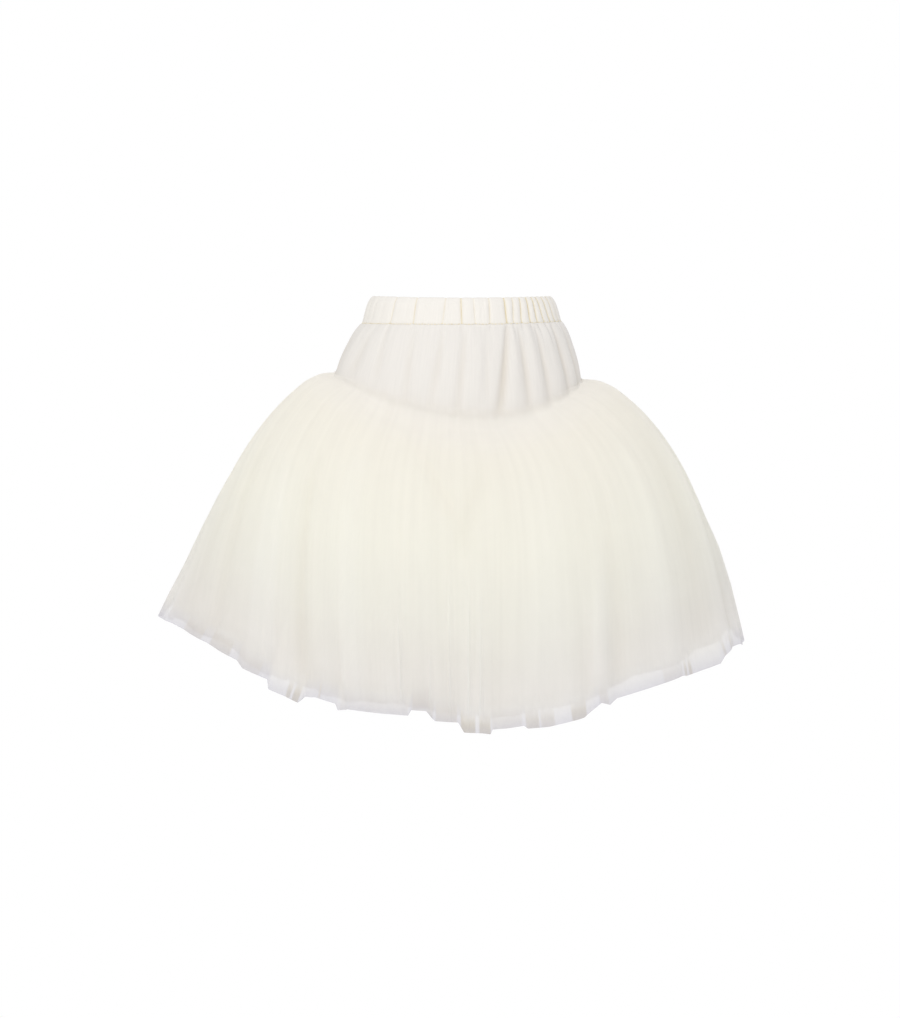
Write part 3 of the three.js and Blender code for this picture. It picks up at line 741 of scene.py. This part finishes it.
def ivory_tulle():
    """Nylon bobbinet tulle: a fine hexagon net with holes about 1.2 mm across, matt. Painted shade makes it
    darker, greyer and a little cool towards the hem, darker in the valleys of its folds, and darker and
    warmer where its hem is folded double. Gathers pack its threads into long soft streaks, dense at the seam
    and thinner towards the hem. Where the edge laps over the yoke, the net thins out in a fine grain."""
    hole = 1.2
    thread = 0.16  # half a thread's width, as a share of a hole
    streaks = ((70.0, 260.0, 0.03), (24.0, 300.0, 0.02), (6.0, 220.0, 0.008))  # width, length, strength
    size = (TULLE_CUT[0] / MM, TULLE_CUT[1] / MM, 1)
    material = bpy.data.materials.new("ivory nylon tulle")
    material.use_nodes = True
    tree = material.node_tree
    tree.nodes.clear()
    cloth = add_node(tree, "TexCoord", {}).outputs["UV"]
    above_hem = add_node(tree, "Attribute", {}, attribute_name="above_hem").outputs["Fac"]
    lower = add_node(tree, "MapRange", {
        "Value": above_hem, "From Min": 0.0, "From Max": 0.25, "To Min": 0.68, "To Max": 0.82,
    }).outputs["Result"]
    sewn_in = add_node(tree, "Attribute", {}, attribute_name="sewn_in").outputs["Fac"]
    grain = add_node(tree, "TexWhiteNoise", {"Vector": cloth}, noise_dimensions="2D").outputs["Value"]
    sewn_in = add_node(tree, "Math", {0: sewn_in, 1: grain}, operation="GREATER_THAN").outputs[0]
    packed = add_node(tree, "Math", {0: lower, 1: sewn_in}, operation="MULTIPLY").outputs[0]
    crest = add_node(tree, "Attribute", {}, attribute_name="crest").outputs["Fac"]
    doubled = add_node(tree, "Math", {0: crest, 1: 0.04, 2: 1.0}, operation="MULTIPLY_ADD").outputs[0]
    packed = add_node(tree, "Math", {0: packed, 1: doubled}, operation="MULTIPLY").outputs[0]
    for width, length, strength in streaks:
        scaled = add_node(tree, "VectorMath", {
            0: cloth, 1: (size[0] / width, size[1] / length, 1),
        }, operation="MULTIPLY").outputs[0]
        noise = add_node(tree, "TexNoise", {
            "Vector": scaled, "Scale": 1.0, "Detail": 1.0, "Roughness": 0.5,
        }, noise_dimensions="2D").outputs["Fac"]
        swing = add_node(tree, "MapRange", {
            "Value": noise, "From Min": 0.25, "From Max": 0.75,
            "To Min": 1 - strength, "To Max": 1 + strength,
        }).outputs["Result"]
        packed = add_node(tree, "Math", {0: packed, 1: swing}, operation="MULTIPLY").outputs[0]
    holes = add_node(tree, "VectorMath", {
        0: cloth, 1: (size[0] / hole, size[1] / hole, 1),
    }, operation="MULTIPLY").outputs[0]
    to_thread = add_node(tree, "TexVoronoi", {
        "Vector": holes, "Scale": 1.0, "Randomness": 0.25,
    }, voronoi_dimensions="2D", feature="DISTANCE_TO_EDGE").outputs["Distance"]
    net = add_node(tree, "MapRange", {
        "Value": to_thread, "From Min": thread, "From Max": 2.2 * thread, "To Min": 1.12, "To Max": 0.92,
    }).outputs["Result"]
    packed = add_node(tree, "Math", {0: packed, 1: net}, operation="MULTIPLY").outputs[0]
    doubled_and_shaded = add_node(tree, "Attribute", {}, attribute_name="doubled_and_shaded").outputs["Fac"]
    thicker = add_node(tree, "Math", {0: doubled_and_shaded, 1: 0.25, 2: 1.0}, operation="MULTIPLY_ADD").outputs[0]
    cover = add_node(tree, "Math", {0: packed, 1: thicker}, operation="MULTIPLY", use_clamp=True).outputs[0]
    # Painted shade: darker, greyer and cooler towards the hem.
    hem_painted_shade = add_node(tree, "ValToRGB", {0: above_hem})
    hem_painted_shade.color_ramp.elements[0].color = linear("#D9D7DE")
    hem_painted_shade.color_ramp.elements[1].color = linear("#FDFBF7")
    shades = (
        (0.03, "#E7E5E6"), (0.06, "#F0EEEB"), (0.10, "#F5F3F0"), (0.30, "#F9F8F3"), (0.50, "#FCFBF5"),
        (0.86, "#FDFBF5"),
    )
    for position, shade in shades:
        hem_painted_shade.color_ramp.elements.new(position).color = linear(shade)
    # Painted shade in the valleys of the folds.
    valley = add_node(tree, "MapRange", {
        "Value": crest, "From Min": 0.4, "From Max": -1.0, "To Min": 0.0, "To Max": 1.0,
    }).outputs["Result"]
    colour = add_node(tree, "Mix", {
        "Factor": valley, 6: hem_painted_shade.outputs[0], 7: linear("#FCFBF9"),
    }, data_type="RGBA", blend_type="MULTIPLY").outputs[2]
    # Painted shade where the hem is folded double: darker and warmer.
    colour = add_node(tree, "Mix", {
        "Factor": doubled_and_shaded, 6: colour, 7: linear("#F3EFE4"),
    }, data_type="RGBA", blend_type="MULTIPLY").outputs[2]
    front_lit = add_node(tree, "BsdfDiffuse", {"Color": colour, "Roughness": 0.5}).outputs[0]
    back_lit = add_node(tree, "BsdfTranslucent", {"Color": colour}).outputs[0]
    threads = add_node(tree, "MixShader", {0: 0.4, 1: front_lit, 2: back_lit}).outputs[0]
    gaps = add_node(tree, "BsdfTransparent", {}).outputs[0]
    surface = add_node(tree, "MixShader", {0: cover, 1: gaps, 2: threads}).outputs[0]
    add_node(tree, "OutputMaterial", {"Surface": surface})
    return material


tulle = ivory_tulle()
for layer_name, layer in TULLE_LAYERS.items():
    for side, facing in (("front", 0), ("back", 180)):
        panel = make_tulle(f"tulle_{layer_name}_{side}_panel", layer, facing)
        panel.data.materials.append(tulle)
        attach(panel, "root")
        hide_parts(f"tulle_{layer_name}_{side}")

# Studio
# A white room with the floor a metre below the waist, where a wearer would stand, a large soft light near
# the camera and a weaker one behind, so that no side is left dark. Sizes here are in metres.
FLOOR_DROP = 1.05
FLOOR_SIZE = 30
CAMERA_PLACE = (-0.0154, -2.010, 0.059)
CAMERA_PITCH = 9.2  # degrees below level
CAMERA_LENS = 53  # focal length in millimetres
SOFT_LIGHTS = {
    "front softbox": {"place": (-0.6, -2.8, 1.5), "size": 2.0, "watts": 36},
    "back softbox": {"place": (1.2, 2.7, 1.4), "size": 2.0, "watts": 13},
}
LIT_CENTRE = (0, 0, -0.25)
FILL_LEFT = (0.805, 0.805, 0.805, 1)  # linear colour of the even light from the -X side
FILL_RIGHT = (0.77, 0.775, 0.805, 1)  # and from the +X side, a little cooler


def seen_white(tree, light_shader, white_shader):
    """Shows plain white where the camera sees past the skirt, and leaves the light as it is."""
    seen = add_node(tree, "LightPath", {}).outputs["Is Camera Ray"]
    return add_node(tree, "MixShader", {0: seen, 1: light_shader, 2: white_shader}).outputs[0]


world = bpy.data.worlds.new("white studio")
bpy.context.scene.world = world
world.use_nodes = True
world.node_tree.nodes.clear()
toward = add_node(world.node_tree, "TexCoord", {}).outputs["Generated"]
to_side = add_node(world.node_tree, "SeparateXYZ", {0: toward}).outputs["X"]
to_right = add_node(world.node_tree, "MapRange", {
    "Value": to_side, "From Min": -1.0, "From Max": 1.0,
}).outputs["Result"]
fill_colour = add_node(world.node_tree, "Mix", {
    "Factor": to_right, 6: FILL_LEFT, 7: FILL_RIGHT,
}, data_type="RGBA").outputs[2]
fill = add_node(world.node_tree, "Background", {"Color": fill_colour, "Strength": 1.0}).outputs[0]
white = add_node(world.node_tree, "Background", {"Color": (1, 1, 1, 1), "Strength": 1.0}).outputs[0]
add_node(world.node_tree, "OutputWorld", {"Surface": seen_white(world.node_tree, fill, white)})

bpy.ops.object.select_all(action="DESELECT")
bpy.ops.mesh.primitive_plane_add(size=FLOOR_SIZE, location=(0, 0, -FLOOR_DROP))
floor = bpy.context.object
floor.name = "studio_floor"
floor_paint = bpy.data.materials.new("matt white floor")
floor_paint.use_nodes = True
floor_paint.node_tree.nodes.clear()
paint = add_node(floor_paint.node_tree, "BsdfDiffuse", {"Color": linear("#F4F4F2")}).outputs[0]
glow = add_node(floor_paint.node_tree, "Emission", {"Color": (1, 1, 1, 1), "Strength": 1.0}).outputs[0]
add_node(floor_paint.node_tree, "OutputMaterial", {"Surface": seen_white(floor_paint.node_tree, paint, glow)})
floor.data.materials.append(floor_paint)

for light_name, light in SOFT_LIGHTS.items():
    lamp = bpy.data.lights.new(light_name, "AREA")
    lamp.size = light["size"]
    lamp.energy = light["watts"]
    softbox = bpy.data.objects.new(light_name, lamp)
    bpy.context.scene.collection.objects.link(softbox)
    softbox.location = light["place"]
    aim = [c - p for c, p in zip(LIT_CENTRE, light["place"])]
    softbox.rotation_euler = Vector(aim).to_track_quat("-Z", "Y").to_euler()

camera = bpy.data.objects.new("camera", bpy.data.cameras.new("camera"))
camera.data.sensor_width = 36
camera.data.lens = CAMERA_LENS
camera.location = CAMERA_PLACE
camera.rotation_euler = (math.radians(90 - CAMERA_PITCH), 0, 0)
bpy.context.scene.collection.objects.link(camera)
bpy.context.scene.camera = camera
bpy.context.scene.view_settings.view_transform = "Standard"
bpy.context.scene.cycles.transparent_max_bounces = 40
